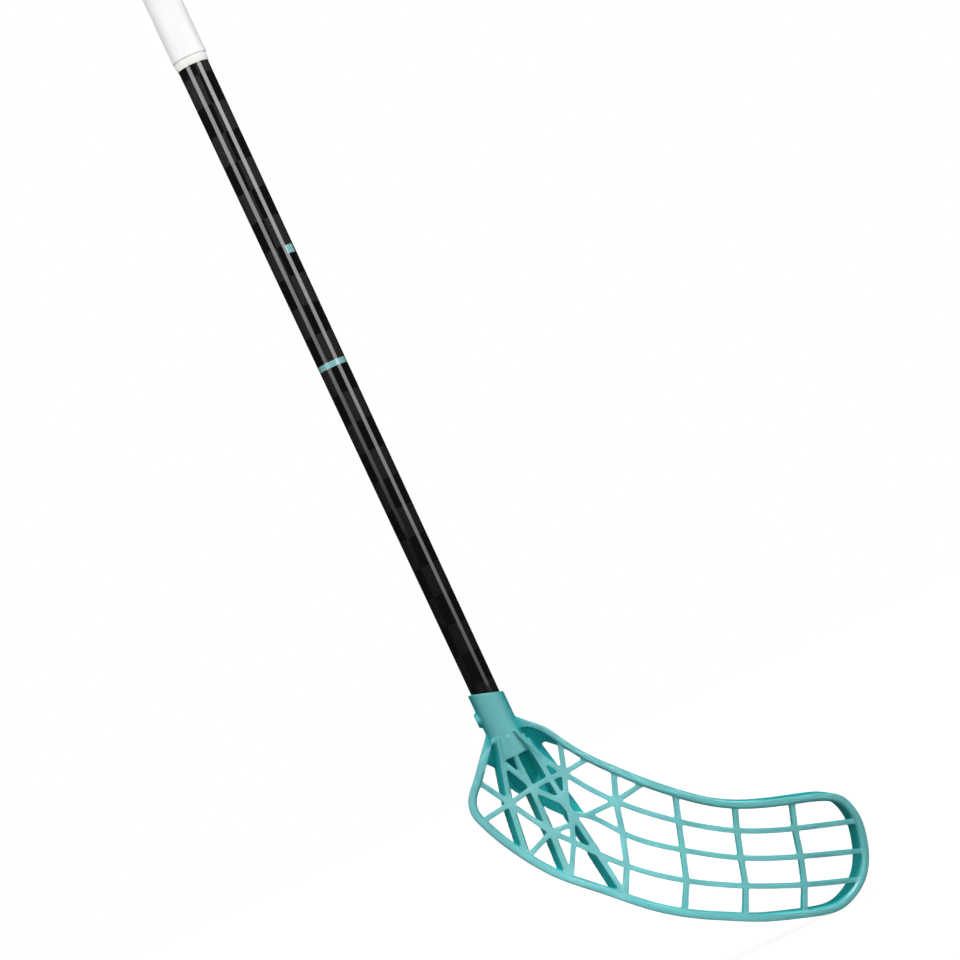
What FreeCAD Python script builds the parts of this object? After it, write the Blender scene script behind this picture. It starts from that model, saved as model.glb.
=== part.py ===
import FreeCAD, Part
import os
from math import asin, atan2, cos, degrees, hypot, sin, sqrt, tan

# A floorball stick: a tapered tube with a moulded blade pushed on its lower end and locked by
# one screw, a wrapped grip with its tape and finishing band, and a plug in the top end.
# +Z runs up the shaft, +X to the blade's tip side, +Y away from the backhand face.
# The origin is the middle of the hand grip. Lengths are in millimetres.

V = FreeCAD.Vector

# Scale of the photograph
pixel_size = 0.74
eye_distance = 3100.0
eye_right = 63.0
eye_below_mouth = 125.0
mouth_pixel = (486, 694)
grip_end_pixel = (192, 65)

# Shaft
shaft_length = 870.0
shaft_butt_diameter = 24.0
shaft_toe_diameter = 20.0
shaft_wall = 1.5
shaft_insertion = 45.0

# Grip, its tape and its finishing band
grip_diameter = 27.0
base_tape_thickness = 0.3
collar_length = 6.5
collar_lower_wall = 0.5
collar_upper_wall = 0.9

# Butt cap
cap_fit = 0.05
cap_plug_length = 26.0
cap_plug_wall = 2.0
cap_flange_thickness = 3.0
cap_flange_fillet = 1.5

# Hosel
hosel_diameter = 25.3
hosel_slant_angle = 17.0
hosel_lip_fillet = 0.6
ledge_width = 2.0
ledge_thickness = 6.0
scoop_length = 36.0
scoop_wall = 2.4

# Screw and its boss
screw_drop = 16.0
boss_diameter = 11.5
boss_reach = 14.8
boss_fillet = 1.0
screw_head_diameter = 6.4
screw_head_height = 2.2
screw_head_sink = 0.4
screw_shank_diameter = 4.0
screw_length = 9.5
screw_fit = 0.05
screw_head_gap = 0.35
drive_width = 2.5
drive_depth = 1.3

# Blade
rim_width = 5.8
rim_depth = 16.0
rim_fillet = 1.7
rim_root_width = 28.0
rim_root_depth = 8.0
rim_root_shares = [0.7, 0.7, 0.74, 0.84, 0.95]
lattice_recess = 2.0
lattice_thickness = 4.2
long_rib_width = 3.8
cross_rib_width = 4.4
heel_rib_width = 4.0
lip_width = 0.5
opening_corner = 0.9
least_opening = 20.0
least_edge = 0.2
strut_front_width = 3.6
strut_back_width = 9.0
strut_lean = 1.9
strut_overlap = 1.5
floor_thickness = 4.0
ramp_width_share = 0.95
ramp_sink = 0.3
toe_width_share = 0.7
toe_height = 0.8
bend_radius = 440.0
outline_parts = 6
curve_points = 5
drawing_decimals = 4

# Places on the blade, read off the photograph in its pixels
bend_start_pixel = (568, 805)
bend_end_pixel = (866, 848)
outline_pixels = [
    (506, 714), (516, 716.5), (530, 721.5), (544, 726.5), (560, 737), (586, 753), (620, 768), (640, 776),
    (673, 787.5), (706, 796.5), (739.5, 800.5), (772.5, 799), (806, 795), (827, 793.5),
    (844.5, 797.5), (855, 807), (862, 818), (866.5, 830.5), (869.5, 845), (870.5, 858.5),
    (866.5, 881), (856, 898), (842.5, 909.5), (830, 914), (806, 917.5), (760, 921),
    (733, 920), (702, 918), (651, 909), (600, 892), (560, 878.5), (516.5, 854.5),
    (481, 826), (471, 813.5), (468.5, 799), (473.5, 781), (479.5, 758.5), (486.5, 732), (493, 716),
]
hosel_gap_start_pixels = [(512, 706), (520, 728)]
hosel_gap_end_pixels = [(491, 742), (487, 706)]
sheet_pixels = [
    (466, 747), (486, 741), (497, 738.5), (525, 733), (537, 712), (900, 700), (900, 960), (440, 960),
    (440, 750),
]
heel_rib_pixels = [
    [(498, 739), (510, 803.5), (526, 852)],
    [(508, 737), (519, 764), (531.5, 788), (551, 831.5), (568, 873)],
    [(527, 739), (540, 761), (550, 778), (572, 813.5), (597, 851), (624, 893)],
    [(515, 730), (543, 758.5), (564, 772.5)],
    [(503.5, 763), (526, 781), (531.5, 788), (561, 801), (572, 813.5)],
    [(476, 780), (510, 803.5), (551, 831.5), (573, 841)],
    [(481, 822), (510, 803.5), (531.5, 788), (550, 778), (564, 772.5), (588, 758)],
    [(529, 855), (551, 831.5), (571, 824)],
    [(559, 738), (564, 772.5), (566.5, 799), (571, 820), (573.5, 841), (571, 876)],
    [(478, 745), (487, 742.5), (498, 740), (512, 738), (525, 735)],
]
long_rib_pixels = [
    [(564, 772.5), (586, 786.5), (616, 801), (679, 821), (737, 830.6), (795, 829.2), (864, 821.5)],
    [(572, 813.5), (586, 815), (622, 832), (683, 849.5), (741, 857.6), (801, 857), (868, 851.5)],
    [(573, 841), (597, 852.5), (627, 865), (687, 880), (746, 885.5), (805, 885), (865, 879.5)],
]
cross_rib_pixels = [
    [(613, 766), (616, 801), (622.5, 831.5), (627, 864.5), (625.5, 896)],
    [(675, 790), (679, 821), (683, 849.5), (687, 880), (685, 912)],
    [(735.5, 803), (738, 830), (742, 857), (747, 885.5), (746, 916)],
    [(793, 799), (796.5, 828), (802.5, 856), (806.5, 885), (805.5, 915)],
]
brace_pixels = [(586, 815), (616, 801), (645, 782)]
strut_pixels = [
    [(498, 742), (510, 803.5), (526, 852)],
    [(508, 740), (519, 764), (531.5, 788), (551, 831.5), (568, 873)],
    [(527, 741), (540, 761), (550, 778), (572, 813.5), (597, 851), (622, 890)],
]
floor_pixels = [
    (487, 736), (481, 762), (497, 769), (503, 771), (507, 780), (512, 786), (519, 786), (527, 793.5),
    (536, 797), (547, 808), (567, 817), (577, 818), (585, 814), (567.5, 790), (564, 776), (560, 768),
    (541.5, 743.5), (545, 741.5), (559, 746), (569, 751), (585, 760), (587, 757.5), (560, 739),
    (543, 730), (514, 718),
]
toe_pixels = [
    [(498, 740), (505, 776)],
    [(508, 738), (527, 779)],
    [(515.5, 731), (546, 760)],
]

# Heights along the shaft, worked out from the sizes above
axis_right = grip_end_pixel[0] - mouth_pixel[0]
axis_down = grip_end_pixel[1] - mouth_pixel[1]
axis_pixels = hypot(axis_right, axis_down)
shaft_up = (axis_right / axis_pixels, axis_down / axis_pixels)
bare_shaft = pixel_size * axis_pixels
grip_length = shaft_length - shaft_insertion - bare_shaft
shaft_top_z = grip_length / 2
grip_low_z = -grip_length / 2
mouth_z = grip_low_z - bare_shaft
toe_z = mouth_z - shaft_insertion
collar_top_z = grip_low_z + collar_length
shaft_butt_radius = shaft_butt_diameter / 2
shaft_toe_radius = shaft_toe_diameter / 2
grip_radius = grip_diameter / 2
tape_radius = shaft_butt_radius + base_tape_thickness
hosel_radius = hosel_diameter / 2
scoop_end_z = toe_z - scoop_length
blade_front_y = -hosel_radius


# Solids of revolution about the shaft

def turned(outline):
    """A solid turned about the shaft's axis from points of radius and height."""
    points = [V(radius, 0, height) for radius, height in outline]
    face = Part.Face(Part.makePolygon(points + points[:1]))
    return face.revolve(V(0, 0, 0), V(0, 0, 1), 360)


def shaft_outside():
    return turned([
        (0, toe_z), (shaft_toe_radius, toe_z), (shaft_butt_radius, grip_low_z),
        (shaft_butt_radius, shaft_top_z), (0, shaft_top_z),
    ])


def shaft_tube():
    bore = turned([
        (0, toe_z), (shaft_toe_radius - shaft_wall, toe_z),
        (shaft_butt_radius - shaft_wall, grip_low_z),
        (shaft_butt_radius - shaft_wall, shaft_top_z), (0, shaft_top_z),
    ])
    return shaft_outside().cut(bore).cut(screw_hole())


def grip_base_tape():
    return turned([
        (shaft_butt_radius, collar_top_z), (tape_radius, collar_top_z),
        (tape_radius, shaft_top_z), (shaft_butt_radius, shaft_top_z),
    ])


def grip_wrap():
    return turned([
        (tape_radius, collar_top_z), (grip_radius, collar_top_z),
        (grip_radius, shaft_top_z), (tape_radius, shaft_top_z),
    ])


def grip_collar():
    return turned([
        (shaft_butt_radius, grip_low_z), (shaft_butt_radius + collar_lower_wall, grip_low_z),
        (shaft_butt_radius + collar_upper_wall, collar_top_z), (shaft_butt_radius, collar_top_z),
    ])


def butt_cap():
    plug_radius = shaft_butt_radius - shaft_wall - cap_fit
    plug_low_z = shaft_top_z - cap_plug_length
    plug_core_radius = plug_radius - cap_plug_wall
    flange_top_z = shaft_top_z + cap_flange_thickness
    cap = turned([
        (plug_core_radius, plug_low_z), (plug_radius, plug_low_z), (plug_radius, shaft_top_z),
        (shaft_butt_radius, shaft_top_z), (shaft_butt_radius, flange_top_z), (0, flange_top_z),
        (0, shaft_top_z), (plug_core_radius, shaft_top_z),
    ])
    high = [edge for edge in cap.Edges if edge.BoundBox.ZMin > shaft_top_z + cap_flange_thickness / 2]
    wide = [edge for edge in high if edge.BoundBox.XLength > shaft_butt_radius]
    return cap.makeFillet(cap_flange_fillet, wide)


# The screw, which enters the hosel from the heel side

def crosswise(radius, start_x, end_x):
    """A round bar along X at the screw's height."""
    return Part.makeCylinder(radius, end_x - start_x, V(start_x, 0, mouth_z - screw_drop), V(1, 0, 0))


def screw_hole():
    hole_radius = screw_shank_diameter / 2 + screw_fit
    return crosswise(hole_radius, -boss_reach, 0)


def blade_screw():
    head_outer_x = -boss_reach + screw_head_sink
    head_inner_x = head_outer_x + screw_head_height
    head = crosswise(screw_head_diameter / 2, head_outer_x, head_inner_x)
    shank = crosswise(screw_shank_diameter / 2, head_inner_x, head_outer_x + screw_length)
    drive = Part.makeBox(
        drive_depth, drive_width, drive_width,
        V(head_outer_x, -drive_width / 2, mouth_z - screw_drop - drive_width / 2),
    )
    return head.fuse(shank).cut(drive).removeSplitter()


# The blade's own axes: along the blade, away from the viewer, and up across the blade.
# The backhand face is flat at the heel and then rolls away on one radius to the tip.

def flat_place(pixel):
    """X and Z of a place in the photograph, on the plane of the shaft's axis."""
    right = pixel[0] - mouth_pixel[0]
    down = pixel[1] - mouth_pixel[1]
    across = pixel_size * (down * shaft_up[0] - right * shaft_up[1])
    along = pixel_size * (right * shaft_up[0] + down * shaft_up[1])
    return across, mouth_z + along


def seen_at(place, depth):
    """The same line of sight, followed to another depth."""
    reach = 1 + depth / eye_distance
    eye_z = mouth_z - eye_below_mouth
    return eye_right + reach * (place[0] - eye_right), eye_z + reach * (place[1] - eye_z)


bend_start = seen_at(flat_place(bend_start_pixel), blade_front_y)
bend_end = seen_at(flat_place(bend_end_pixel), blade_front_y)
blade_angle = atan2(bend_end[1] - bend_start[1], bend_end[0] - bend_start[0])


def to_blade_axes(place):
    right = place[0] - bend_start[0]
    up = place[1] - bend_start[1]
    return right * cos(blade_angle) + up * sin(blade_angle), up * cos(blade_angle) - right * sin(blade_angle)


def unrolled(pixel):
    """A place in the photograph on the backhand face, laid out flat."""
    place = flat_place(pixel)
    along = to_blade_axes(seen_at(place, blade_front_y))[0]
    roll = bend_radius - sqrt(bend_radius ** 2 - max(0, along) ** 2)
    along, up = to_blade_axes(seen_at(place, blade_front_y + roll))
    if along > 0:
        along = bend_radius * asin(along / bend_radius)
    return round(along, drawing_decimals), round(up, drawing_decimals)


def rolled(solid, along):
    """Carries what lies flat at a place along the blade on to the curved face there."""
    turn = max(0, along) / bend_radius
    solid.translate(V(-max(0, along), 0, 0))
    solid.rotate(V(0, 0, 0), V(0, 0, 1), degrees(turn))
    solid.translate(V(bend_radius * sin(turn), bend_radius * (1 - cos(turn)), 0))
    return solid


def layer(front, back):
    """The curved layer between two depths behind the backhand face."""
    reach = shaft_length
    turn = reach / bend_radius / 2
    outer = bend_radius - front
    inner = bend_radius - back

    def on_arc(radius, angle):
        return V(radius * sin(angle), bend_radius - radius * cos(angle), 0)

    edges = [
        Part.makeLine(V(-reach, front, 0), V(0, front, 0)),
        Part.Arc(V(0, front, 0), on_arc(outer, turn / 2), on_arc(outer, turn)).toShape(),
        Part.makeLine(on_arc(outer, turn), on_arc(inner, turn)),
        Part.Arc(on_arc(inner, turn), on_arc(inner, turn / 2), V(0, back, 0)).toShape(),
        Part.makeLine(V(0, back, 0), V(-reach, back, 0)),
        Part.makeLine(V(-reach, back, 0), V(-reach, front, 0)),
    ]
    solid = Part.Face(Part.Wire(edges)).extrude(V(0, 0, reach))
    solid.translate(V(0, 0, -reach / 2))
    return solid


def closed_curve(outline, points):
    """A smooth closed line through the points, spaced as they are on the flat outline."""
    lengths = [0]
    for here, after in zip(outline, outline[1:] + outline[:1]):
        lengths.append(lengths[-1] + hypot(after[0] - here[0], after[1] - here[1]))
    curve = Part.BSplineCurve()
    curve.interpolate(Points=points, PeriodicFlag=True, Parameters=lengths)
    ends = [lengths[part * len(outline) // outline_parts] for part in range(outline_parts + 1)]
    return Part.Wire([curve.toShape(start, end) for start, end in zip(ends[:-1], ends[1:])])


def square_walled(outline):
    """A solid with the given flat outline and walls square to the curved face."""
    wires = []
    for depth in (-rim_depth, 5 * rim_depth):
        points = []
        for along, up in outline:
            if along > 0:
                along = (bend_radius - depth) * tan(along / bend_radius)
            points.append(V(along, depth, up))
        wires.append(closed_curve(outline, points))
    walls = [Part.makeRuledSurface(near, far) for near, far in zip(wires[0].Edges, wires[1].Edges)]
    shell = Part.Shell(walls + [Part.Face(wire) for wire in wires])
    shell.sewShape()
    return Part.Solid(shell)


def inset(outline, distances):
    """The outline's points moved inwards, square to the line through their neighbours."""
    moved = []
    count = len(outline)
    for index in range(count):
        before = outline[index - 1]
        after = outline[(index + 1) % count]
        run = hypot(after[0] - before[0], after[1] - before[1])
        inward = ((after[1] - before[1]) / run, -(after[0] - before[0]) / run)
        here = outline[index]
        moved.append((here[0] + distances[index] * inward[0], here[1] + distances[index] * inward[1]))
    return moved


def open_inset(distance):
    """The inset outline, less deep at the rim's root and carried out past the hosel, where the rim stops."""
    outline = [unrolled(pixel) for pixel in outline_pixels]
    start = [unrolled(pixel) for pixel in hosel_gap_start_pixels]
    end = [unrolled(pixel) for pixel in hosel_gap_end_pixels]
    shares = [1] * len(start) + rim_root_shares
    shares += [1] * (len(outline) - len(shares))
    moved = inset(outline, [distance * share for share in shares])
    return start + moved[len(start):-len(end)] + end


def strip(pixels, width, smooth):
    """A flat rib of even width along the given places."""
    middle = [unrolled(pixel) for pixel in pixels]
    left = []
    right = []
    for index, here in enumerate(middle):
        before = middle[max(0, index - 1)]
        after = middle[min(len(middle) - 1, index + 1)]
        run = hypot(after[0] - before[0], after[1] - before[1])
        side = (-(after[1] - before[1]) / run, (after[0] - before[0]) / run)
        left.append(V(here[0] + side[0] * width / 2, 0, here[1] + side[1] * width / 2))
        right.append(V(here[0] - side[0] * width / 2, 0, here[1] - side[1] * width / 2))
    if not smooth:
        return Part.Face(Part.makePolygon(left + right[::-1] + left[:1]))
    edges = []
    for points in (left, right[::-1]):
        curve = Part.BSplineCurve()
        curve.interpolate(Points=points)
        edges.append(curve.toShape())
    closing = [Part.makeLine(left[-1], right[-1]), Part.makeLine(right[0], left[0])]
    return Part.Face(Part.Wire([edges[0], closing[0], edges[1], closing[1]]))


def openings():
    """The flat openings that the ribs leave inside the rim, with rounded corners."""
    outline = open_inset(rim_width + lip_width)
    inside = Part.Face(closed_curve(outline, [V(along, 0, up) for along, up in outline]))
    corners = [V(along, 0, up) for along, up in map(unrolled, sheet_pixels)]
    field = inside.common(Part.Face(Part.makePolygon(corners + corners[:1])))
    ribs = [strip(pixels, heel_rib_width, False) for pixels in heel_rib_pixels + [brace_pixels]]
    ribs += [strip(pixels, cross_rib_width, False) for pixels in cross_rib_pixels]
    ribs += [strip(pixels, long_rib_width, True) for pixels in long_rib_pixels]
    rounded = []
    for face in field.cut(ribs).Faces:
        if face.Area > least_opening:
            shrunk = face.makeOffset2D(-opening_corner)
            rounded += [plain(piece.makeOffset2D(opening_corner)) for piece in shrunk.Faces]
    return rounded


def plain(opening):
    """The same opening drawn with lines, arcs and smooth curves only, without its shortest edges."""
    runs = []
    for edge in opening.OuterWire.OrderedEdges:
        if edge.Length > least_edge:
            points = edge.discretize(curve_points)
            runs.append((edge.Curve, points[::-1] if edge.Orientation == "Reversed" else points))
    edges = []
    for index, (kind, points) in enumerate(runs):
        end = runs[(index + 1) % len(runs)][1][0]
        if isinstance(kind, Part.Line):
            edges.append(Part.makeLine(points[0], end))
        elif isinstance(kind, Part.Circle):
            edges.append(Part.Arc(points[0], points[curve_points // 2], end).toShape())
        else:
            curve = Part.BSplineCurve()
            curve.interpolate(Points=points[:-1] + [end])
            edges.append(curve.toShape())
    return Part.Face(Part.Wire(edges))


def cutter(opening):
    """A cutter through the lattice, square to the face at the opening's middle."""
    solid = opening.extrude(V(0, 2 * rim_depth, 0))
    solid.translate(V(0, -rim_depth / 2, 0))
    return rolled(solid, opening.CenterOfMass.x)


def lattice():
    """The thin sheet of ribs inside the rim."""
    corners = [V(along, -rim_depth, up) for along, up in map(unrolled, sheet_pixels)]
    field = Part.Face(Part.makePolygon(corners + corners[:1])).extrude(V(0, 5 * rim_depth, 0))
    sheet = layer(lattice_recess, lattice_recess + lattice_thickness)
    sheet = square_walled(open_inset(rim_width / 2)).common(sheet).common(field)
    return sheet.cut([cutter(opening) for opening in openings()])


def rim():
    outside = square_walled([unrolled(pixel) for pixel in outline_pixels])
    ring = outside.common(layer(0, rim_depth)).cut(square_walled(open_inset(rim_width)))
    ring = max(ring.Solids, key=lambda solid: solid.Volume)
    return ring.makeFillet(rim_fillet, [edge for edge in ring.Edges if edge.Length > 2 * rim_depth])


def rim_on_stick():
    """The rim, sloped off where it runs back into the sides of the hosel."""
    front = 2 * blade_front_y
    slope_z = toe_z - ledge_thickness
    corners = [
        V(-rim_root_width, front, slope_z), V(-rim_root_width, blade_front_y, slope_z),
        V(-hosel_radius, blade_front_y + rim_root_depth, slope_z),
        V(hosel_radius, blade_front_y + rim_root_depth, slope_z),
        V(rim_root_width, blade_front_y, slope_z), V(rim_root_width, front, slope_z),
    ]
    slopes = Part.Face(Part.makePolygon(corners + corners[:1]))
    slopes = slopes.extrude(V(0, 0, mouth_z + hosel_diameter - slope_z))
    return on_stick(rim()).cut(slopes)


def bar(start, end, fronts, back, widths, lean=0):
    """A straight bar from its front depth at each end to one depth behind, where it leans over."""
    run = hypot(end[0] - start[0], end[1] - start[1])
    heading = V((end[0] - start[0]) / run, 0, (end[1] - start[1]) / run)
    side = V(-heading.z, 0, heading.x)
    first = V(start[0], 0, start[1]) - heading * strut_overlap
    last = V(end[0], 0, end[1]) + heading * strut_overlap
    rings = []
    for depths, width, offset in zip((fronts, (back, back)), widths, (0, lean)):
        near = first + V(0, depths[0], 0) - side * offset
        far = last + V(0, depths[1], 0) - side * offset
        half = side * (width / 2)
        rings.append([near - half, near + half, far + half, far - half])
    faces = [Part.Face(Part.makePolygon(ring + ring[:1])) for ring in rings]
    for index in range(len(rings[0])):
        quad = [rings[0][index - 1], rings[0][index], rings[1][index], rings[1][index - 1]]
        faces.append(Part.Face(Part.makePolygon(quad + quad[:1])))
    shell = Part.Shell(faces)
    shell.sewShape()
    return rolled(Part.Solid(shell), (start[0] + end[0]) / 2)


def struts():
    """The three deep webs from the hosel to the bottom rim, wider at the back and ending in the rim."""
    made = []
    outline = [unrolled(pixel) for pixel in outline_pixels]
    inside = square_walled(inset(outline, [lip_width] * len(outline)))
    front = lattice_recess + ramp_sink
    back = rim_depth - ramp_sink
    widths = (strut_front_width, strut_back_width)
    for pixels in strut_pixels:
        places = [unrolled(pixel) for pixel in pixels]
        for start, end in zip(places[:-1], places[1:]):
            made.append(bar(start, end, (front, front), back, widths, strut_lean).common(inside))
    return made


def ramps():
    """Gussets where the upright ribs climb from the lattice to the bottom rim."""
    width = cross_rib_width * ramp_width_share
    fronts = (lattice_recess + ramp_sink, ramp_sink)
    back = lattice_recess + lattice_thickness / 2
    ends = [(unrolled(pixels[-2]), unrolled(pixels[-1])) for pixels in cross_rib_pixels]
    return [bar(start, end, fronts, back, (width, width)) for start, end in ends]


def toes():
    """The ends of the webs that run up on to the hosel."""
    width = heel_rib_width * toe_width_share
    fronts = (-toe_height, lattice_recess + ramp_sink)
    back = lattice_recess + lattice_thickness / 2
    ends = [(unrolled(start), unrolled(end)) for start, end in toe_pixels]
    return [bar(start, end, fronts, back, (width, width)) for start, end in ends]


def heel_floor():
    """The floor that closes the heel between the hosel's foot and the rim."""
    corners = [V(along, rim_depth - floor_thickness, up) for along, up in map(unrolled, floor_pixels)]
    return Part.Face(Part.makePolygon(corners + corners[:1])).extrude(V(0, floor_thickness - ramp_sink, 0))


def on_stick(solid):
    """Turns and moves the blade from its own axes to the stick's."""
    solid.rotate(V(0, 0, 0), V(0, 1, 0), -degrees(blade_angle))
    solid.translate(V(bend_start[0], blade_front_y, bend_start[1]))
    return solid


def capsule(radius):
    """A round-ended bar along the shaft's axis under the socket."""
    end_z = scoop_end_z + hosel_radius
    straight = Part.makeCylinder(radius, toe_z - end_z, V(0, 0, end_z))
    return straight.fuse(Part.makeSphere(radius, V(0, 0, end_z)))


def behind_plane(front):
    reach = shaft_length
    return Part.makeBox(reach, reach, reach, V(-reach / 2, front, toe_z - reach / 2))


def hosel():
    """The socket tube, cut at a slant at the mouth, with its boss for the screw."""
    overlong = hosel_diameter
    foot_z = toe_z - ledge_thickness
    tube = Part.makeCylinder(hosel_radius, mouth_z + overlong - foot_z, V(0, 0, foot_z))
    above = Part.makeBox(4 * overlong, 4 * overlong, 4 * overlong, V(-2 * overlong, -2 * overlong, 0))
    above.rotate(V(0, 0, 0), V(0, 1, 0), hosel_slant_angle)
    above.translate(V(0, 0, mouth_z))
    tube = tube.cut(above)
    rounds = [edge for edge in tube.Edges if len(edge.Vertexes) == 1]
    lip = [edge for edge in rounds if edge.BoundBox.ZMin > mouth_z - hosel_radius]
    tube = tube.makeFillet(hosel_lip_fillet, lip)
    boss = crosswise(boss_diameter / 2, -boss_reach, 0)
    rounds = [edge for edge in boss.Edges if len(edge.Vertexes) == 1]
    outer = [edge for edge in rounds if edge.BoundBox.XMax < -boss_reach / 2]
    return tube.fuse(boss.makeFillet(boss_fillet, outer))


def blade():
    inner_radius = hosel_radius - scoop_wall
    front_strips = blade_front_y + lattice_recess + lattice_thickness
    floor_front = blade_front_y + rim_depth - floor_thickness
    scoop = capsule(inner_radius).common(behind_plane(front_strips))
    half_pipe = capsule(hosel_radius).cut(capsule(inner_radius)).common(behind_plane(floor_front))
    webs = on_stick(heel_floor())
    for strut in struts():
        webs = webs.fuse(on_stick(strut))
    body = hosel().fuse(webs.cut(scoop)).fuse(half_pipe).fuse(rim_on_stick())
    for piece in [lattice()] + ramps() + toes():
        body = body.fuse(on_stick(piece))
    ledge_radius = shaft_toe_radius - ledge_width
    drain = Part.makeCylinder(ledge_radius, 2 * ledge_thickness, V(0, 0, toe_z - 2 * ledge_thickness))
    head_pocket = crosswise(
        screw_head_diameter / 2 + screw_head_gap, -2 * boss_reach,
        screw_head_sink + screw_head_height - boss_reach,
    )
    for gap in (shaft_outside(), drain, head_pocket, screw_hole()):
        body = body.cut(gap)
    return body.removeSplitter()


if __name__ == "__main__":
    os.makedirs("parts", exist_ok=True)
    nodes = {
        "shaft_tube": shaft_tube(),
        "grip_base_tape": grip_base_tape(),
        "grip_wrap": grip_wrap(),
        "grip_collar": grip_collar(),
        "butt_cap": butt_cap(),
        "blade_screw": blade_screw(),
        "blade": blade(),
    }
    for name, shape in nodes.items():
        shape.exportStep("parts/" + name + ".step")
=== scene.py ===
# %% [markdown]
# # A floorball stick, dressed for its picture
#
# The imported model brings the stick's real solids: a tapered carbon tube, a moulded lattice blade
# with its screw, a white grip with a finishing band, and a plug in the top end. This lesson gives
# each of them the surface that the real one has. First we load the solids and keep their box, which
# later sets the height of the floor. Lengths are in metres throughout, except those of the camera's
# lens and film.

# %% Load the solids
import math

import bpy
from mathutils import Euler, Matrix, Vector


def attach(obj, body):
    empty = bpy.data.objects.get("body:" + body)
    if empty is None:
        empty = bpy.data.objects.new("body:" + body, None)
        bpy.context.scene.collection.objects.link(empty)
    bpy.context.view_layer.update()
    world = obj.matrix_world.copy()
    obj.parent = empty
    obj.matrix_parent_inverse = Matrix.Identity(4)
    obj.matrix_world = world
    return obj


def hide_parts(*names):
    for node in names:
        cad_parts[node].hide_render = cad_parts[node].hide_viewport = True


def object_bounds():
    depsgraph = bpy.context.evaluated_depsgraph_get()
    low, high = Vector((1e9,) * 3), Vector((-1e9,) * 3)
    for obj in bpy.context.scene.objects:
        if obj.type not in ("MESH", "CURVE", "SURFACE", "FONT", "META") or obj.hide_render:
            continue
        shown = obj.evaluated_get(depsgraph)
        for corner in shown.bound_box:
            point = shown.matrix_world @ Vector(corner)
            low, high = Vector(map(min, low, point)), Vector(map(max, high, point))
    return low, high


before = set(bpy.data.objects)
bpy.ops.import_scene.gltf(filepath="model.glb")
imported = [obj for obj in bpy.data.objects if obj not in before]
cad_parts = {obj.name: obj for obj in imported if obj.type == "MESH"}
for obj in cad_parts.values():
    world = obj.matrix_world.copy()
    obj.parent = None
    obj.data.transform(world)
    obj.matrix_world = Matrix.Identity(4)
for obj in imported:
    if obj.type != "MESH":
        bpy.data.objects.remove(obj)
cad_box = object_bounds()
scene = bpy.context.scene
scene.view_settings.view_transform = "Standard"
print("solids:", sorted(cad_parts))
print("box:", [tuple(round(v, 4) for v in corner) for corner in cad_box])

# %% [markdown]
# ## The camera
#
# The picture was taken with a long lens, nearly square to the blade, and turned so that the shaft
# leans to the left. A long lens far away and a short lens close by frame the same object, but a
# ring on the shaft bows more for the close one. The photograph's rings bow about twice as much as
# ours, so its camera probably stood nearer. The blade was drawn for this distance, so it stays.
# There is no shift, because the stick can be framed by aiming alone.

# %% Place the camera
camera_place = (0.0103, -3.0924, -0.6944)
camera_turns = (93.461, 25.011, 0.489)
lens_length = 157.1
film_width = 36.0
farthest_seen = 60.0
bpy.ops.object.select_all(action="DESELECT")
bpy.ops.object.camera_add(location=camera_place)
camera = bpy.context.object
camera.name = "picture_camera"
camera.rotation_euler = Euler([math.radians(turn) for turn in camera_turns])
camera.data.lens = lens_length
camera.data.sensor_width = film_width
camera.data.clip_end = farthest_seen
scene.camera = camera
print("camera at", camera_place, "with a lens of", lens_length, "mm")

# %% [markdown]
# ## Small helpers for the finishes
#
# A finish is a little graph of nodes. Writing each link by hand hides the idea, so a few helpers do
# the plumbing: one adds a node with its inputs, and the others are the steps that come back in
# every finish, such as arithmetic, noise and a mix of two colours.

# %% Helpers for node graphs
def add_node(tree, kind, inputs=(), **settings):
    """A node with its settings made and its inputs joined or filled, by number or by name."""
    made = tree.nodes.new(kind)
    for setting, value in settings.items():
        setattr(made, setting, value)
    for place, value in (inputs.items() if isinstance(inputs, dict) else enumerate(inputs)):
        if isinstance(value, bpy.types.NodeSocket):
            tree.links.new(value, made.inputs[place])
        else:
            made.inputs[place].default_value = value
    return made


def work_out(tree, operation, *values):
    """One step of arithmetic on sockets and numbers."""
    return add_node(tree, "ShaderNodeMath", values, operation=operation).outputs[0]


def rescale(tree, value, before, after):
    """A value carried from one range to another and held at the ends."""
    return add_node(tree, "ShaderNodeMapRange", [value, *before, *after]).outputs[0]


def noise(tree, place, per_metre, detail):
    """Soft clouds between nothing and one."""
    inputs = {"Vector": place, "Scale": per_metre, "Detail": detail}
    return add_node(tree, "ShaderNodeTexNoise", inputs).outputs[0]


def mix_colours(tree, share, first, second):
    """The first colour where the share is nothing, and the second where it is full."""
    inputs = {0: share, 6: first, 7: second}
    return add_node(tree, "ShaderNodeMix", inputs, data_type="RGBA").outputs[2]


print("node helpers ready")

# %% [markdown]
# Three more helpers put a finish together: one starts it with the numbers that don't change over
# the surface, one adds relief too fine to model, and one puts the finish on a piece.

# %% Helpers for whole finishes
def new_finish(name, **constants):
    """A material, its tree, its shader and the place on the object, ready for more nodes."""
    material = bpy.data.materials.new(name)
    material.use_nodes = True
    shader = material.node_tree.nodes["Principled BSDF"]
    for socket, value in constants.items():
        shader.inputs[socket.replace("_", " ")].default_value = value
    place = add_node(material.node_tree, "ShaderNodeTexCoord").outputs["Object"]
    return material, material.node_tree, shader, place


def bump(tree, shader, height, strength, distance):
    """Relief that only the light sees."""
    inputs = {"Height": height, "Strength": strength, "Distance": distance}
    tree.links.new(add_node(tree, "ShaderNodeBump", inputs).outputs[0], shader.inputs["Normal"])


def dress(piece, material):
    """Takes off whatever finish a piece has and puts this one on."""
    piece.data.materials.clear()
    piece.data.materials.append(material)


print("finish helpers ready")

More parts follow.
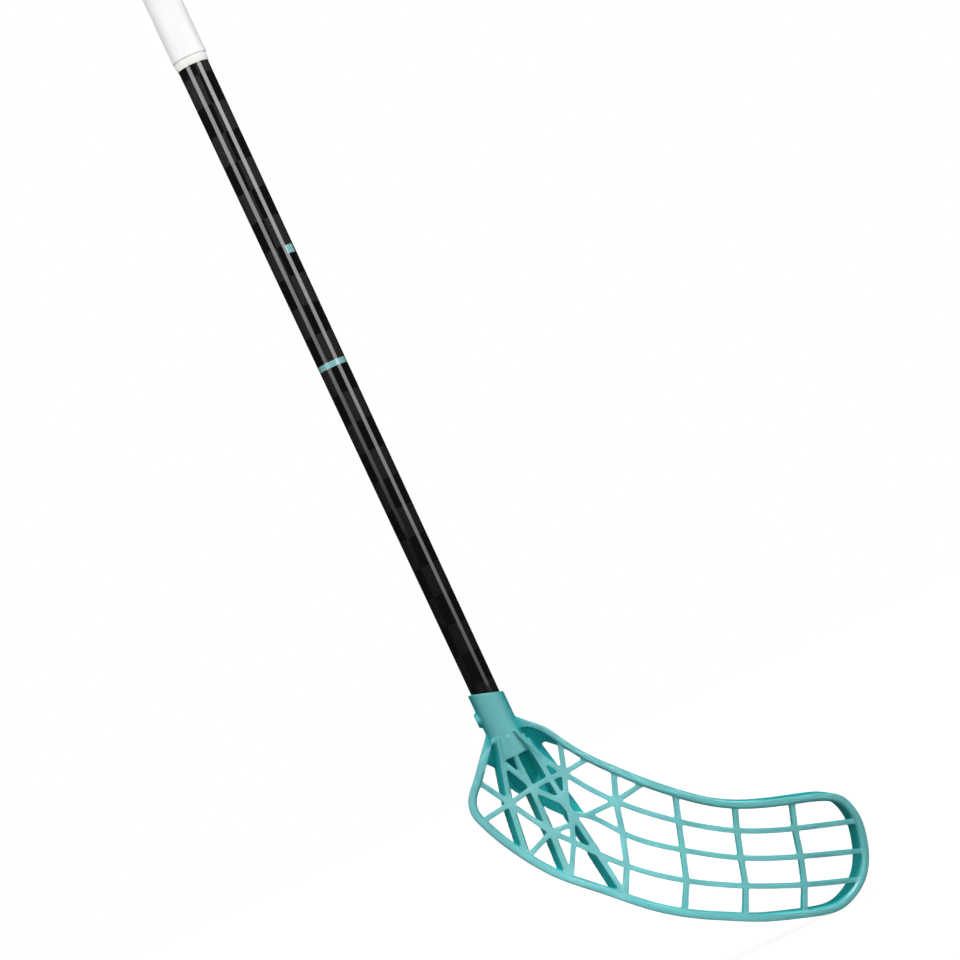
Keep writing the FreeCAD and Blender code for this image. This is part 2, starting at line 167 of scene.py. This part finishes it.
# %% [markdown]
# ## Carbon for the shaft
#
# The tube is rolled from carbon sheet whose outer ply is a weave of wide flat tows. It reads as a
# large checker of nearly black and charcoal blocks under a thick clear lacquer. A checker texture
# would stretch round the tube, so the block is found from the angle round the axis and the height.
# The columns drift slowly round the tube because the sheet never lies quite straight, and the
# sheet's own seam is at the back.

# %% Find the block of the weave
block_length = 0.0236
first_block_height = -0.1647
column_angle = math.radians(115)
drift_per_metre = math.radians(74)
first_drift = math.radians(6)

carbon, tree, shader, place = new_finish(
    "lacquered_carbon", Roughness=0.10, IOR=1.7, Coat_Weight=1.0, Coat_Roughness=0.02, Coat_IOR=1.8,
)
x, y, z = add_node(tree, "ShaderNodeSeparateXYZ", [place]).outputs
angle = work_out(tree, "ARCTAN2", x, work_out(tree, "MULTIPLY", y, -1.0))
along = work_out(tree, "SUBTRACT", z, first_block_height)
drift = work_out(tree, "MULTIPLY_ADD", along, drift_per_metre, first_drift)
straightened = work_out(tree, "SUBTRACT", angle, drift)
column = work_out(tree, "FLOOR", work_out(tree, "DIVIDE", straightened, column_angle))
row = work_out(tree, "FLOOR", work_out(tree, "DIVIDE", along, block_length))
counted = work_out(tree, "ADD", work_out(tree, "ADD", column, row), 1.0)
light_on_top = work_out(tree, "FLOORED_MODULO", counted, 2.0)
print("blocks", round(block_length * 1000, 1), "mm long")

# %% [markdown]
# Inside a block the fibres run one way, along the tube in one set and round it in the other. Two
# stretched noises give that streak. Towards the blade the light blocks are darkened as painted shade,
# so the blocks fade into each other there.

# %% Streak the fibres and colour the blocks
stretched_along = (40.0, 25.0, 1.0)
stretched_round = (2.0, 1500.0, 1.0)
painted_shade_heights = (-0.60, -0.36)
painted_shade_shares = (0.35, 1.0)
unrolled = add_node(tree, "ShaderNodeCombineXYZ", [angle, z, 0.0]).outputs[0]


def streaks(stretch):
    """Fine lines on the unrolled tube."""
    stretched = add_node(tree, "ShaderNodeMapping", {"Vector": unrolled, "Scale": stretch})
    return noise(tree, stretched.outputs[0], 1.0, 2.0)


light_tow = mix_colours(
    tree, streaks(stretched_round), (0.0205, 0.0207, 0.0199, 1), (0.0265, 0.0268, 0.0257, 1),
)
dark_tow = mix_colours(
    tree, streaks(stretched_along), (0.0025, 0.0025, 0.0025, 1), (0.0048, 0.0048, 0.0046, 1),
)
# Painted shade: the light tows darken towards the blade, where less light falls.
painted_shade_fade = rescale(tree, z, painted_shade_heights, painted_shade_shares)
weave = mix_colours(tree, work_out(tree, "MULTIPLY", light_on_top, painted_shade_fade), dark_tow, light_tow)
print("two tow directions")

# %% [markdown]
# The ring and the small bar on the shaft are printed under the lacquer, so they belong to the same
# surface. Each is a band of height, and the bar is also a band of angle.

# %% Print the ring and the bar
ring_heights = (-0.4038, -0.3992)
bar_heights = (-0.3134, -0.3068)
bar_angles = (math.radians(28), math.radians(70))
blur_in_height = 0.0002
blur_in_angle = 0.015
teal_ink = (0.30, 0.60, 0.62, 1)


def band(value, limits, blur):
    """One between two limits of a value and nothing outside, with a soft edge."""
    low, high = limits
    rises = rescale(tree, value, (low - blur, low + blur), (0.0, 1.0))
    falls = rescale(tree, value, (high - blur, high + blur), (1.0, 0.0))
    return work_out(tree, "MULTIPLY", rises, falls)


ring = band(z, ring_heights, blur_in_height)
bar = work_out(
    tree, "MULTIPLY", band(z, bar_heights, blur_in_height), band(angle, bar_angles, blur_in_angle),
)
inked = work_out(tree, "MAXIMUM", ring, bar)
tree.links.new(mix_colours(tree, inked, weave, teal_ink), shader.inputs["Base Color"])
dress(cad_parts["shaft_tube"], carbon)
print("ring and bar printed")

# %% [markdown]
# ## The blade
#
# The blade is one moulding: hosel, rim, lattice and deep webs, with every edge rounded by the
# mould. The solid has the right form but sharp edges. Bevelling hundreds of small triangles fails
# in many corners, so a copy is rebuilt on a fine even grid, relaxed so that the edges turn round,
# and then thinned to a sensible number of faces.

# %% Round the moulding's edges
grid_step = 0.0005
relaxing_rounds = 4
most_triangles = 190000
joining_distance = 0.000001


def select_only(piece):
    """Makes one piece the only one that the next operator works on."""
    bpy.ops.object.select_all(action="DESELECT")
    piece.select_set(True)
    bpy.context.view_layer.objects.active = piece


def copy_of_solid(node, name):
    """A separate copy of a solid's mesh, with its loose triangles joined up."""
    piece = bpy.data.objects.new(name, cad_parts[node].data.copy())
    scene.collection.objects.link(piece)
    select_only(piece)
    bpy.ops.object.mode_set(mode="EDIT")
    bpy.ops.mesh.select_all(action="SELECT")
    bpy.ops.mesh.remove_doubles(threshold=joining_distance)
    bpy.ops.object.mode_set(mode="OBJECT")
    return piece


def apply_modifier(piece, kind, **settings):
    """Works a modifier into a piece's mesh for good."""
    modifier = piece.modifiers.new(kind.lower(), kind)
    for setting, value in settings.items():
        setattr(modifier, setting, value)
    select_only(piece)
    bpy.ops.object.modifier_apply(modifier=modifier.name)


moulding = copy_of_solid("blade", "blade_moulding")
apply_modifier(moulding, "REMESH", mode="VOXEL", voxel_size=grid_step)
apply_modifier(moulding, "SMOOTH", factor=0.5, iterations=relaxing_rounds)
triangles = 2 * len(moulding.data.polygons)
apply_modifier(moulding, "DECIMATE", ratio=min(1.0, most_triangles / triangles))
bpy.ops.object.shade_smooth()
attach(moulding, "stick")
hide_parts("blade")
print("moulding:", len(moulding.data.polygons), "faces")

# %% [markdown]
# The broad faces of the blade get a paler teal, a painted sheen, and are made smoother and shinier.
# The walls of the openings and the hollow of the heel get a deeper teal, as painted shade. How far
# a point carries the painted sheen rather than the painted shade is written on the mesh, so that the
# finish can use it. The blade bends away from the camera along its length, so depth is measured
# from the bent front and not from a flat plane.

# %% Mark the painted sheen and the painted shade
blade_front = -0.01265
bend_radius = 0.440
bend_start = Vector((0.0204, 0, -0.7696))
towards_tip = Vector((0.836, 0, -0.549))
full_sheen_depth = 0.0055
hollow_depth = 0.0085
wall_facing = 0.35
face_facing = 0.80


def share_between(value, nothing, full):
    """How far a value has gone from nothing to full, between 0 and 1."""
    return min(1.0, max(0.0, (value - nothing) / (full - nothing)))


def painted_light_share(vertex):
    """Painted sheen, one on broad faces front and back; painted shade, nothing on walls and hollow."""
    past_start = max(0.0, (vertex.co - bend_start).dot(towards_tip))
    bow = bend_radius - math.sqrt(bend_radius ** 2 - past_start ** 2)
    depth = vertex.co.y - blade_front - bow
    reached = 1.0 if vertex.normal.y > 0 else share_between(depth, hollow_depth, full_sheen_depth)
    return reached * share_between(abs(vertex.normal.y), wall_facing, face_facing)


# Each point's share: one is the painted sheen of the broad faces, nothing the painted shade.
shares = [painted_light_share(vertex) for vertex in moulding.data.vertices]
moulding.data.attributes.new("sheen_not_shade", "FLOAT", "POINT").data.foreach_set("value", shares)
print("painted_sheen:", round(100 * sum(shares) / len(shares)), "per cent of the points")

# %% [markdown]
# The plastic itself is a satin teal. Under the eye it isn't one colour: it is a little cloudy where
# the melt flowed, and its skin has the fine grain of the mould.

# %% Teal plastic
flow_clouds = (38.0, 4.0)
mould_grain = (1600.0, 2.0)
grain_relief = (0.10, 0.0002)
plastic, tree, shader, place = new_finish("teal_plastic", IOR=1.5)
cloud = noise(tree, place, *flow_clouds)
# The deep teal is the plastic darkened as painted shade, for the walls and the hollow of the heel. The
# pale teal is the plastic's teal with a painted sheen, for the broad faces.
shade_painted_teal = mix_colours(tree, cloud, (0.010, 0.350, 0.358, 1), (0.016, 0.385, 0.390, 1))
sheen_painted_teal = mix_colours(tree, cloud, (0.110, 0.415, 0.425, 1), (0.135, 0.455, 0.460, 1))
# The share on the mesh mixes them: painted shade where it is nothing, painted sheen where it is one,
# and it sets the roughness and the shine with them.
sheen_not_shade = add_node(tree, "ShaderNodeAttribute", attribute_name="sheen_not_shade").outputs["Fac"]
tree.links.new(mix_colours(tree, sheen_not_shade, shade_painted_teal, sheen_painted_teal), shader.inputs["Base Color"])
for socket, walls_to_faces in (("Roughness", (0.55, 0.28)), ("Specular IOR Level", (0.12, 0.70))):
    tree.links.new(rescale(tree, sheen_not_shade, (0.0, 1.0), walls_to_faces), shader.inputs[socket])
bump(tree, shader, noise(tree, place, *mould_grain), *grain_relief)
dress(moulding, plastic)
print("plastic on", moulding.name)

# %% [markdown]
# ## The screw, the cap and the tape
#
# The screw is plated steel with the fine turning marks of its head. The cap and the film of tape
# under the grip hardly show, but from the top they are what one sees. None of them is quite one
# colour from near by, so one function makes all three, and the grip's skin after them.

# %% Steel, cap plastic and tape
def mottled_finish(piece, name, colours, clouds, grain=None, relief=None, **constants):
    """Dresses a piece in a colour that wanders between two, with a fine grain in relief."""
    material, tree, shader, place = new_finish(name, **constants)
    wandering = mix_colours(tree, noise(tree, place, *clouds), *colours)
    tree.links.new(wandering, shader.inputs["Base Color"])
    if grain:
        bump(tree, shader, noise(tree, place, *grain), *relief)
    dress(piece, material)


mottled_finish(
    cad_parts["blade_screw"], "plated_steel", ((0.50, 0.51, 0.52, 1), (0.66, 0.67, 0.68, 1)),
    clouds=(900.0, 3.0), grain=(900.0, 3.0), relief=(0.08, 0.0001), Metallic=1.0, Roughness=0.28,
)
mottled_finish(
    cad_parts["butt_cap"], "white_cap_plastic", ((0.74, 0.74, 0.73, 1), (0.82, 0.82, 0.81, 1)),
    clouds=(700.0, 3.0), grain=(700.0, 3.0), relief=(0.15, 0.0002), Roughness=0.45,
)
mottled_finish(
    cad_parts["grip_base_tape"], "adhesive_film", ((0.55, 0.50, 0.38, 1), (0.68, 0.63, 0.50, 1)),
    clouds=(400.0, 2.0), Roughness=0.6,
)
print("small pieces dressed")

# %% [markdown]
# ## The grip
#
# The grip is a smooth white skin, wrapped tight on its film. Its lower edge is rolled over, and a
# narrow band below it finishes the wrap against the bare shaft. The solids have the right sizes but
# knife edges, so both are drawn again at the sizes of their solids: an open cylinder or cone, given
# a wall inwards, and then rounded where the wall turns. The band's upper end is tucked a little way
# under the wrap, so that no gap shows between them.

# %% Wrap and band
wrap_wall, wrap_edge = 0.0012, 0.00058
band_wall, band_edge = 0.0005, 0.0002
band_low_radius = 0.0125
band_tuck = 0.0006
tuck_clearance = 0.0004
sides_round = 160
edge_steps = 5


def heights_of(node):
    """The lower and the upper end of a solid."""
    heights = [vertex.co.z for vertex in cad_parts[node].data.vertices]
    return min(heights), max(heights)


def radius_of(node):
    """How far a solid reaches from the shaft's axis."""
    return max(vertex.co.xy.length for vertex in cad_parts[node].data.vertices)


def sleeve(name, heights, radii, wall, edge):
    """A thin round sleeve with rounded ends."""
    low, high = heights
    bpy.ops.object.select_all(action="DESELECT")
    bpy.ops.mesh.primitive_cone_add(
        vertices=sides_round, radius1=radii[0], radius2=radii[1], depth=high - low,
        end_fill_type="NOTHING", location=(0, 0, (low + high) / 2),
    )
    piece = bpy.context.object
    piece.name = name
    bpy.ops.object.transform_apply(location=True, rotation=True, scale=True)
    apply_modifier(piece, "SOLIDIFY", thickness=wall, offset=-1.0, use_even_offset=True)
    apply_modifier(
        piece, "BEVEL", width=edge, segments=edge_steps,
        limit_method="ANGLE", angle_limit=math.radians(50),
    )
    bpy.ops.object.shade_smooth_by_angle(angle=math.radians(40))
    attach(piece, "stick")
    return piece


wrap_radius = radius_of("grip_wrap")
wrap = sleeve("wrapped_skin", heights_of("grip_wrap"), (wrap_radius, wrap_radius), wrap_wall, wrap_edge)
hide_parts("grip_wrap")

band_low, band_high = heights_of("grip_collar")
band_heights = (band_low, band_high + band_tuck)
band_radii = (band_low_radius, wrap_radius - tuck_clearance)
finishing_band = sleeve("finishing_band", band_heights, band_radii, band_wall, band_edge)
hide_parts("grip_collar")
print("wrap radius", round(wrap_radius, 5), "heights", heights_of("grip_wrap"))
print("band heights", band_heights, "radii", band_radii)

# %% [markdown]
# The skin is a soft white polymer with fine pores, and the hand leaves it a little uneven. The band
# is a cut of stretchy tape, slightly warmer than the skin.

# %% White skin and warm band
for piece, name, colours, roughness in (
    (wrap, "white_grip_skin", ((0.785, 0.785, 0.785, 1), (0.82, 0.82, 0.82, 1)), 0.55),
    (finishing_band, "warm_white_band", ((0.80, 0.80, 0.78, 1), (0.84, 0.84, 0.82, 1)), 0.45),
):
    mottled_finish(
        piece, name, colours, clouds=(30.0, 3.0), grain=(1200.0, 3.0), relief=(0.12, 0.0002),
        Roughness=roughness, Specular_IOR_Level=0.2,
    )
print("grip dressed")

# %% [markdown]
# ## The studio
#
# The stick stands on a plain pale floor that runs into a white room. Close to the stick the floor
# is a little below white, so that it can hold a shadow. Farther out it is lifted to full white for
# the camera alone, so that no edge of the floor shows.

# %% Floor
floor_height = cad_box[0].z
floor_radius = 14.0
lifting_reach = (0.4, 1.6)
lifting_shares = (0.90, 1.0)
bpy.ops.object.select_all(action="DESELECT")
bpy.ops.mesh.primitive_circle_add(
    vertices=96, radius=floor_radius, fill_type="NGON", location=(0, 0, floor_height),
)
floor = bpy.context.object
floor.name = "studio_floor"
pale, tree, shader, place = new_finish(
    "pale_floor", Base_Color=(0.12, 0.12, 0.12, 1), Roughness=0.9, Emission_Color=(1, 1, 1, 1),
)
away = add_node(tree, "ShaderNodeVectorMath", [place], operation="LENGTH").outputs["Value"]
lift = rescale(tree, away, lifting_reach, lifting_shares)
to_camera = add_node(tree, "ShaderNodeLightPath").outputs["Is Camera Ray"]
tree.links.new(work_out(tree, "MULTIPLY", to_camera, lift), shader.inputs["Emission Strength"])
dress(floor, pale)
print("floor at", round(floor_height, 4))

# %% [markdown]
# The room is white to the camera and dim to everything else, so that the lacquer reflects only the
# lamps and the hollows of the blade stay deep in colour.

# %% World
reflected_room = 0.015
room_light = 0.14
world = bpy.data.worlds.new("studio_room")
scene.world = world
world.use_nodes = True
tree = world.node_tree
background = tree.nodes["Background"]
rays = add_node(tree, "ShaderNodeLightPath").outputs
strength = work_out(tree, "MAXIMUM", rays["Is Camera Ray"], rays["Is Transmission Ray"])
for kind_of_ray, level in (("Is Glossy Ray", reflected_room), ("Is Diffuse Ray", room_light)):
    strength = work_out(tree, "MAXIMUM", strength, work_out(tree, "MULTIPLY", rays[kind_of_ray], level))
background.inputs["Color"].default_value = (1, 1, 1, 1)
tree.links.new(strength, background.inputs["Strength"])
print("room made")

# %% [markdown]
# A soft box is a lamp behind a sheet of cloth. This one can be dimmed towards its foot, as a box lit
# from its top is. It can wear a grid, a honeycomb that lets only a narrow beam through, and it can
# be polarised, so that shiny surfaces don't mirror it. Its strength is given as the brightness of
# the cloth, so the power follows from the size, and a grid takes its part of the power away.

# %% Soft box
def soft_box(
    name, centre, target, width, height, radiance, foot=1.0, fade=1.0, grid=None, polarised=False,
):
    """A soft box facing a target, out of the camera's sight."""
    bpy.ops.object.select_all(action="DESELECT")
    bpy.ops.object.light_add(type="AREA", location=centre)
    lamp = bpy.context.object
    lamp.name = name
    lamp.data.shape = "RECTANGLE"
    lamp.data.size = width
    lamp.data.size_y = height
    lamp.data.energy = radiance * math.pi * width * height
    if grid:
        half = math.radians(grid) / 2
        lamp.data.spread = 2 * half
        lamp.data.energy *= 1 - half / math.tan(half)
    lamp.visible_camera = False
    lamp.visible_glossy = not polarised
    lamp.rotation_euler = (Vector(target) - Vector(centre)).to_track_quat("-Z", "Y").to_euler()
    lamp.data.use_nodes = True
    tree = lamp.data.node_tree
    on_cloth = add_node(tree, "ShaderNodeNewGeometry").outputs["Parametric"]
    up_the_cloth = add_node(tree, "ShaderNodeSeparateXYZ", [on_cloth]).outputs[1]
    dimming = rescale(tree, up_the_cloth, (0.0, fade), (foot, 1.0))
    tree.links.new(dimming, tree.nodes["Emission"].inputs["Strength"])


def beside_shaft(side_angle, reach, height):
    """A place at an angle from the camera's side of the shaft."""
    bearing = math.radians(side_angle)
    return reach * math.sin(bearing), -reach * math.cos(bearing), height


print("soft box ready")

# %% [markdown]
# Two tall boxes stand left and right of the camera and draw the two long reflections on the
# lacquered shaft, which fade towards the blade. A lamp high above them is the main light on the
# blade, and one at the back keeps the far side from going black.

# %% Large lamps
box_reach = 1.5
left_box_angle, left_box_height = -39.5, -0.01
right_box_angle, right_box_height = 48, -0.105
soft_box(
    "left_soft_box", beside_shaft(left_box_angle, box_reach, left_box_height),
    (0, 0, left_box_height), width=0.80, height=0.92, radiance=2.05, foot=0.05, fade=0.545,
)
soft_box(
    "right_soft_box", beside_shaft(right_box_angle, box_reach, right_box_height),
    (0, 0, right_box_height), width=0.78, height=1.11, radiance=2.8, foot=0.2, fade=0.67,
)
soft_box(
    "high_lamp", (0.35, -2.0, 2.4), (0.05, 0, -0.85), width=0.9, height=0.6, radiance=93.0, grid=40,
)
soft_box(
    "back_lamp", beside_shaft(200, 2.6, 0.2), (0.05, 0, -0.5), width=1.2, height=1.2, radiance=5.0,
    polarised=True,
)

# %% [markdown]
# Small lamps with a grid do the rest. Three polarised fills beside the camera lighten the heel, the
# tip and the end of the grip, and a lamp at each side brings up the edges of the grip's end. Their
# narrow beams keep the upper grip from turning as white as the room behind it.

# %% Small lamps
fill_size = 0.3
for name, centre, target, radiance, grid in (
    ("heel_fill", (0.3, -3.3, -0.5), (0.01, 0, -0.86), 640.0, 6),
    ("tip_fill", (0.9, -3.2, -0.6), (0.26, 0.05, -0.90), 200.0, 8),
    ("grip_fill", (0.2, -3.0, -0.9), (0, 0, -0.18), 290.0, 6),
):
    soft_box(name, centre, target, fill_size, fill_size, radiance, grid=grid, polarised=True)

grip_lamp_size = 0.25
grip_end = (0, 0, -0.16)
for name, centre, radiance in (
    ("left_grip_lamp", (-1.2, -0.35, 0.7), 145.0),
    ("right_grip_lamp", (1.2, -0.35, 0.7), 98.0),
):
    soft_box(name, centre, grip_end, grip_lamp_size, grip_lamp_size, radiance, grid=14)
